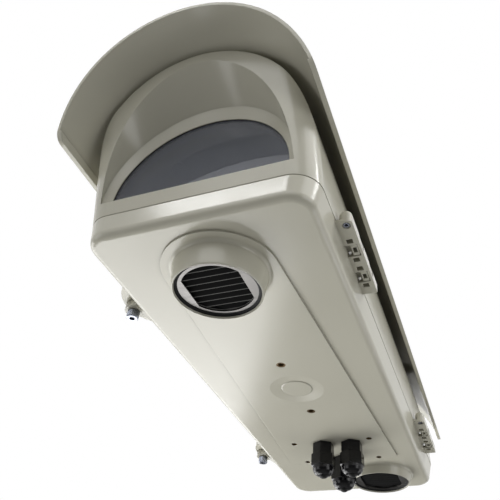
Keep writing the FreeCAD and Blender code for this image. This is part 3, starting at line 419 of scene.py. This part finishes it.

# %% [markdown]
# ## Foam of the filters
# An open foam has pores about a millimetre wide. Voronoi cells, dark in their middles and bent
# inwards there, look like it from close and like dark grey felt from afar. The dark middles are
# painted shade in the pores.

# %% Foam
foam_colour = (0.02, 0.02, 0.022)
pore_shade_colour = (0.004, 0.004, 0.004)
strut_colour = (0.045, 0.045, 0.048)
pore_depth = 0.3 * mm


def filter_foam():
    finish = Finish("filter_foam", foam_colour, Roughness=0.9)
    pores = finish.node("ShaderNodeTexVoronoi", None, {"Vector": finish.place, "Scale": 900.0})
    # The darker colour in the middles of the cells is painted shade in the pores.
    finish.set("Base Color", finish.tint(pore_shade_colour, strut_colour, pores))
    finish.set("Normal", finish.bump(pores, pore_depth))
    return finish


keep("filter_foam", filter_foam())

# %% [markdown]
# ## Bare metals
# Stainless screws are turned, the vent plates are brushed sheet, and the camera plate is zinc
# plated. The colour is that of the metal, except for brass, which is much darker than brass,
# as painted shade in the holes that it lines. The metallic value is one, and a noise that is
# pulled out along one direction makes the marks of the brush in the roughness and in the bump.

# %% Metals
mark_depth = 0.01 * mm
metal_edge = 0.3 * mm
same_all_ways = (1, 1, 1)
brushed_along_x = (0.04, 1, 1)
drawn_along_y = (1, 0.05, 1)
turned_round_z = (1, 1, 0.2)


def bare_metal(name, colour, roughness, stretch):
    finish = Finish(name, colour, Metallic=1.0)
    marks = finish.noise(700, 3, stretch)
    finish.set("Roughness", marks * 0.25 + roughness)
    finish.set("Normal", finish.bump(marks, mark_depth, finish.soft_edge(metal_edge)))
    return finish


for name, colour, roughness, stretch in [
    ("steel", (0.30, 0.32, 0.37), 0.14, turned_round_z),
    ("vent_metal", (0.15, 0.145, 0.14), 0.22, brushed_along_x),
    ("sheet_zinc", (0.60, 0.61, 0.64), 0.30, same_all_ways),
    ("heat_sink", (0.10, 0.10, 0.105), 0.35, drawn_along_y),
    # Brass is near black here: painted shade in the holes that it lines.
    ("brass", (0.13, 0.085, 0.04), 0.25, turned_round_z),
]:
    keep(name, bare_metal(name, colour, roughness, stretch))

# %% [markdown]
# ## Lacquer on the terminal board
# A circuit board is glass cloth under green lacquer. The weave shows as a faint even ripple, and
# the copper tracks shine through as paler lines. A brick texture has lines like these: its
# mortar, two millimetres wide, in rows seven millimetres apart.

# %% Board
lacquer_colour = (0.012, 0.10, 0.045)
lacquer_deep = (0.010, 0.085, 0.035)
lacquer_pale = (0.045, 0.26, 0.10)
weave_share = 0.15
track_height = 0.04 * mm


def board_lacquer():
    finish = Finish("board", lacquer_colour, Roughness=0.25)
    weave = finish.node("ShaderNodeTexChecker", None, {"Vector": finish.place, "Scale": 900.0}, 1)
    lines = {"Vector": finish.place, "Scale": 36.0, "Mortar Size": 0.035, "Brick Width": 0.6}
    tracks = finish.node("ShaderNodeTexBrick", {"offset": 0.35}, lines, 1)
    raised = tracks * (1 - weave_share) + weave * weave_share
    finish.set("Base Color", finish.tint(lacquer_deep, lacquer_pale, raised))
    finish.set("Normal", finish.bump(raised, track_height))
    return finish


keep("board", board_lacquer())

# %% [markdown]
# ## Dress the solids
# The record says which slot each node has, so one loop gives every solid its finish.

# %% Dress
for part in frame["record"]["subparts"]:
    for slot in nodes[part["node"]].material_slots:
        slot.material = finishes[part["material_slot"]]

# %% [markdown]
# ## Slats with painted highlights on their edges
# Seen from below, the front louvre is black with thin pale lines, which are painted highlights
# on the lowest edge of every slat. So it has a finish of its own, in which a mask on the height
# turns the plastic pale over the last bit of each slat. The rear one is plain black.

# %% Slats
slat_black = (0.004, 0.004, 0.004)
slat_highlight_colour = (0.20, 0.20, 0.19)
slat_highlight_band = 0.16 * mm


def slats_with_painted_highlight(louvre):
    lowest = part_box(louvre)[0][2]
    finish = moulded(louvre, slat_black, 0.45)
    finish.set("Specular IOR Level", dull)
    height = finish.node("ShaderNodeSeparateXYZ", None, {0: finish.place}, 2)
    steps = {0: height, 1: lowest + slat_highlight_band, 2: lowest + 2 * slat_highlight_band}
    plain_colour_share = finish.node("ShaderNodeMapRange", None, steps)
    # The pale colour over the lowest edge of each slat is a painted highlight.
    finish.set("Base Color", finish.tint(slat_black, slat_highlight_colour, 1 - plain_colour_share))
    nodes[louvre].material_slots[0].material = finish.material
    print(louvre, "is rubbed up to", round((lowest + slat_highlight_band) / mm, 2), "mm")


slats_with_painted_highlight("louvre_front")

# %% [markdown]
# ## A helper for new pieces
# A new piece is made with the operators that one uses by hand. At the end each gets its name, its
# place is put into its mesh, its edges are shaded, and it rides on the body that carries it.

# %% Last steps of a piece


def piece_done(name, slot, body):
    piece = bpy.context.object
    bpy.ops.object.mode_set(mode="OBJECT")
    piece.name = name
    piece.data.name = name
    bpy.ops.object.transform_apply(location=True, rotation=True, scale=True)
    bpy.ops.object.shade_smooth_by_angle(angle=math.radians(35))
    piece.data.materials.clear()
    piece.data.materials.append(finishes[slot])
    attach(piece, body)
    print(name, "has", len(piece.data.polygons), "faces and rides on", body)


# %% [markdown]
# ## Turned pieces
# A ring, bead or cup can be turned as on a lathe. Spinning an outline would do, but a circle that
# is extruded, resized and lifted from point to point of the outline needs no seam to be closed.
# An outline that starts and ends nearly at the axis has its poles merged to one vertex each.

# %% Turn an outline
pole = 0.004 * mm


def turned(name, slot, body, centre, outline, closed=False, sides=48):
    """`outline` is a list of (radius, height); a closed one goes back to its first point."""
    bpy.ops.object.select_all(action="DESELECT")
    radius, height = outline[0]
    bpy.ops.mesh.primitive_circle_add(vertices=sides, radius=radius, location=(*centre, height))
    bpy.ops.object.mode_set(mode="EDIT")
    for wide, high in outline[1:] + (outline[:1] if closed else []):
        ratio = wide / radius
        bpy.ops.mesh.extrude_region_move()
        bpy.ops.transform.resize(value=(ratio, ratio, 1), center_override=(*centre, height))
        bpy.ops.transform.translate(value=(0, 0, high - height))
        radius, height = wide, high
    bpy.ops.mesh.select_all(action="SELECT")
    bpy.ops.mesh.remove_doubles(threshold=2.5 * pole)
    bpy.ops.mesh.normals_make_consistent(inside=False)
    piece_done(name, slot, body)


# %% [markdown]
# ## Sealing beads of the vents
# Each metal plate lies in the mouth of its vent on a bead of black sealant. From below it shows
# as a dark crescent between the painted rim and the metal. The outline of a bead is measured in
# millimetres, outwards from the edge of its plate and upwards from the plate's lower face.

# %% Beads
bead_drop = 1.7
bead_gap = 1.15
bead_outline = [
    (bead_gap, -bead_drop),
    (bead_gap - 0.25, -bead_drop - 0.1),
    (bead_gap - 0.6, -0.9),
    (-0.5, -0.35),
    (-1.3, -0.05),
    (-0.2, 1.6),
    (bead_gap, 2.0),
]


def middle(name):
    """The middle of a solid, seen from above."""
    low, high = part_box(name)
    return ((low[0] + high[0]) / 2, (low[1] + high[1]) / 2)


def vent_bead(place):
    plate = "vent_plate_" + place
    low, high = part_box(plate)
    edge = (high[0] - low[0]) / 2
    face = low[2]
    outline = [(edge + out * mm, face + up * mm) for out, up in bead_outline]
    turned("vent_bead_" + place, "rubber_seal", "tray", middle(plate), outline, closed=True, sides=96)


for place in ("front", "rear"):
    vent_bead(place)

# %% [markdown]
# ## Screw threads
# A thread is a small triangle that climbs round an axis. The Screw modifier does this for one
# edge loop: it turns the triangle and lifts it by the pitch with every turn. The triangle points
# outwards on a screw and inwards in a tapped hole. The ends are closed with a face. All threads
# here have a pitch of one millimetre. The triangle starts with equal sides, and is made flatter
# so that a thread is about a quarter of a millimetre deep.

# %% Wind a thread
pitch = 1 * mm
thread_flatness = 0.364
steps_of_a_turn = 20


def thread(name, slot, body, centre, radius, low, high, inside=False):
    bpy.ops.object.select_all(action="DESELECT")
    start = (*centre, low)
    lean = math.radians(-90 if inside else 90)
    bpy.ops.mesh.primitive_circle_add(vertices=3, radius=pitch / 2, location=start)
    piece = bpy.context.object
    bpy.ops.object.mode_set(mode="EDIT")
    bpy.ops.transform.resize(value=(1, thread_flatness, 1), center_override=start)
    bpy.ops.transform.rotate(value=lean, orient_axis="Z", center_override=start)
    bpy.ops.transform.rotate(value=math.radians(90), orient_axis="X", center_override=start)
    bpy.ops.transform.translate(value=(radius, 0, pitch / 2))
    bpy.ops.object.mode_set(mode="OBJECT")
    winding = piece.modifiers.new("winding", "SCREW")
    winding.axis = "Z"
    winding.angle = 2 * math.pi
    winding.screw_offset = pitch
    winding.iterations = int((high - low) / pitch) - 1
    winding.steps = steps_of_a_turn
    winding.render_steps = steps_of_a_turn
    bpy.ops.object.modifier_apply(modifier=winding.name)
    bpy.ops.object.mode_set(mode="EDIT")
    bpy.ops.mesh.select_all(action="DESELECT")
    bpy.ops.mesh.select_mode(type="EDGE")
    bpy.ops.mesh.select_non_manifold()
    bpy.ops.mesh.edge_face_add()
    bpy.ops.mesh.select_all(action="SELECT")
    bpy.ops.mesh.normals_make_consistent(inside=False)
    piece_done(name, slot, body)


# %% [markdown]
# ## Threads on the latch screws
# The captive latch screws have a thread on the upper part of their stems, which goes into the
# cover. It turns with its screw, so it rides on the body of that latch.

# %% Latch screws
latch_stem = 3 * mm
thread_from_tip = 8.6 * mm
bare_tip = 0.6 * mm

for place in ("front", "rear"):
    latch = "latch_screw_" + place
    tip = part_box(latch)[1][2]
    ends = (tip - thread_from_tip, tip - bare_tip)
    thread("thread_" + latch, "steel", "latch_" + place, middle(latch), latch_stem, *ends)

# %% [markdown]
# ## Threads in the bracket holes
# The two holes for the bracket have inserts in the solids, which only need a thread inside. It
# starts a little above their mouths.

# %% Bracket holes
insert_bore = 3 * mm
insert_lip = 0.3 * mm
bracket_holes = {"front": -50 * mm, "rear": 50 * mm}

insert_low, insert_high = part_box("bracket_inserts")
ends = (insert_low[2] + insert_lip, insert_high[2])
for place, y in bracket_holes.items():
    # The dark brass of this thread is painted shade in the hole.
    thread("thread_insert_" + place, "brass", "tray", (0, y), insert_bore, *ends, inside=True)

# %% [markdown]
# ## Cups in the rear holes
# The four holes under the rear are plain in the solids. Each gets a dark brass cup that is turned
# from an outline, and a thread between the cup's mouth and its floor. Cup and thread paint the
# shade deep in each hole.

# %% Rear holes
cup_bore = 2.95 * mm
cup_wide = 3.28 * mm
cup_mouth = 0.3 * mm
cup_floor = 10.6 * mm
cup_top = 10.9 * mm
cup_lip = 0.2 * mm
cup = [
    (pole, cup_floor),
    (cup_bore, cup_floor),
    (cup_bore, cup_mouth),
    (cup_wide, cup_mouth),
    (cup_wide, cup_top),
    (pole, cup_top),
]
rear_holes = [(x * mm, y * mm) for x in (-45, 45) for y in (130, 185)]

ends = (cup_mouth + cup_lip, cup_floor - cup_lip)
for number, spot in enumerate(rear_holes):
    # The dark cups and threads are painted shade deep in the holes.
    turned(f"shade_cup_rear_hole_{number}", "brass", "tray", spot, cup, sides=32)
    thread(f"thread_rear_hole_{number}", "brass", "tray", spot, cup_bore, *ends, inside=True)

# %% [markdown]
# ## Threads of the glands
# A gland's stem stands a few millimetres above the nut inside the tray, where one sees it with
# the cover open. Each row has a gland, its nut, its body, its middle and its stem's radius, the
# last two in millimetres.

# %% Gland stems
gland_stems = [
    ("small_left", "gland_nuts_small", "gland_bodies_small", (-11, 137), 8),
    ("small_right", "gland_nuts_small", "gland_bodies_small", (22.6, 139), 8),
    ("large", "gland_nut_large", "gland_body_large", (1.5, 183), 10),
]
bare_end = 0.1 * mm

for place, nut, stem, spot, radius in gland_stems:
    ends = (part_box(nut)[1][2] + bare_end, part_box(stem)[1][2] - bare_end)
    centre = (spot[0] * mm, spot[1] * mm)
    thread("thread_gland_" + place, "gland_plastic", "tray", centre, radius * mm, *ends)

# %% [markdown]
# ## Parts on the terminal board
# Between the two rows of terminals stand the parts that feed fan and heater. Round ones are
# turned, square ones are a cube that is resized and bevelled in edit mode. None of them is seen
# with the cover shut. Their places and sizes are written in millimetres.

# %% Blocks and cans
board_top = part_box("terminal_board")[1][2]


def block(name, slot, spot, size, round_edge=0.4 * mm):
    """`size` is width, length and height above the board."""
    bpy.ops.object.select_all(action="DESELECT")
    place = (spot[0] * mm, spot[1] * mm, board_top + size[2] / 2 * mm)
    bpy.ops.mesh.primitive_cube_add(size=1, location=place)
    bpy.ops.object.mode_set(mode="EDIT")
    bpy.ops.mesh.select_all(action="SELECT")
    bpy.ops.transform.resize(value=[length * mm for length in size], center_override=place)
    bpy.ops.mesh.bevel(offset=round_edge, segments=2, affect="EDGES")
    piece_done(name, slot, "tray")


def can(name, spot, radius, tall):
    """A small can with a groove near its foot and a rolled rim."""
    foot = [(pole / mm, 0), (radius - 0.3, 0), (radius, 0.3)]
    groove = [(radius, 1.2), (radius - 0.35, 1.6), (radius, 2.0)]
    rim = [(radius, tall - 0.4), (radius - 0.4, tall), (radius - 0.8, tall)]
    lid = [(radius - 0.9, tall - 0.2), (pole / mm, tall - 0.2)]
    outline = [(wide * mm, board_top + high * mm) for wide, high in foot + groove + rim + lid]
    turned(name, "sheet_zinc", "tray", (spot[0] * mm, spot[1] * mm), outline, sides=32)


print("the board's upper face is at", round(board_top / mm, 2), "mm")

# %% Soldered parts
strip_x = -51
leg_out = 3.9
first_leg = 199.2
leg_pitch = 2.54
leg_size = (1.8, 0.5, 0.9)

block("board_relay", "switch_plastic", (strip_x, 238), (13, 20, 12))
block("board_coil", "terminal_plastic", (strip_x, 218), (9, 9, 6), 1.2 * mm)
block("board_chip", "fan_plastic", (strip_x, 203), (6, 10, 2.2), 0.3 * mm)
for row, x in (("left", strip_x - leg_out), ("right", strip_x + leg_out)):
    for number in range(4):
        spot = (x, first_leg + number * leg_pitch)
        block(f"chip_leg_{row}_{number}", "steel", spot, leg_size, 0.1 * mm)
can("board_can_front", (strip_x, 181), 4, 11)
can("board_can_rear", (strip_x, 191), 3, 8)

# %% [markdown]
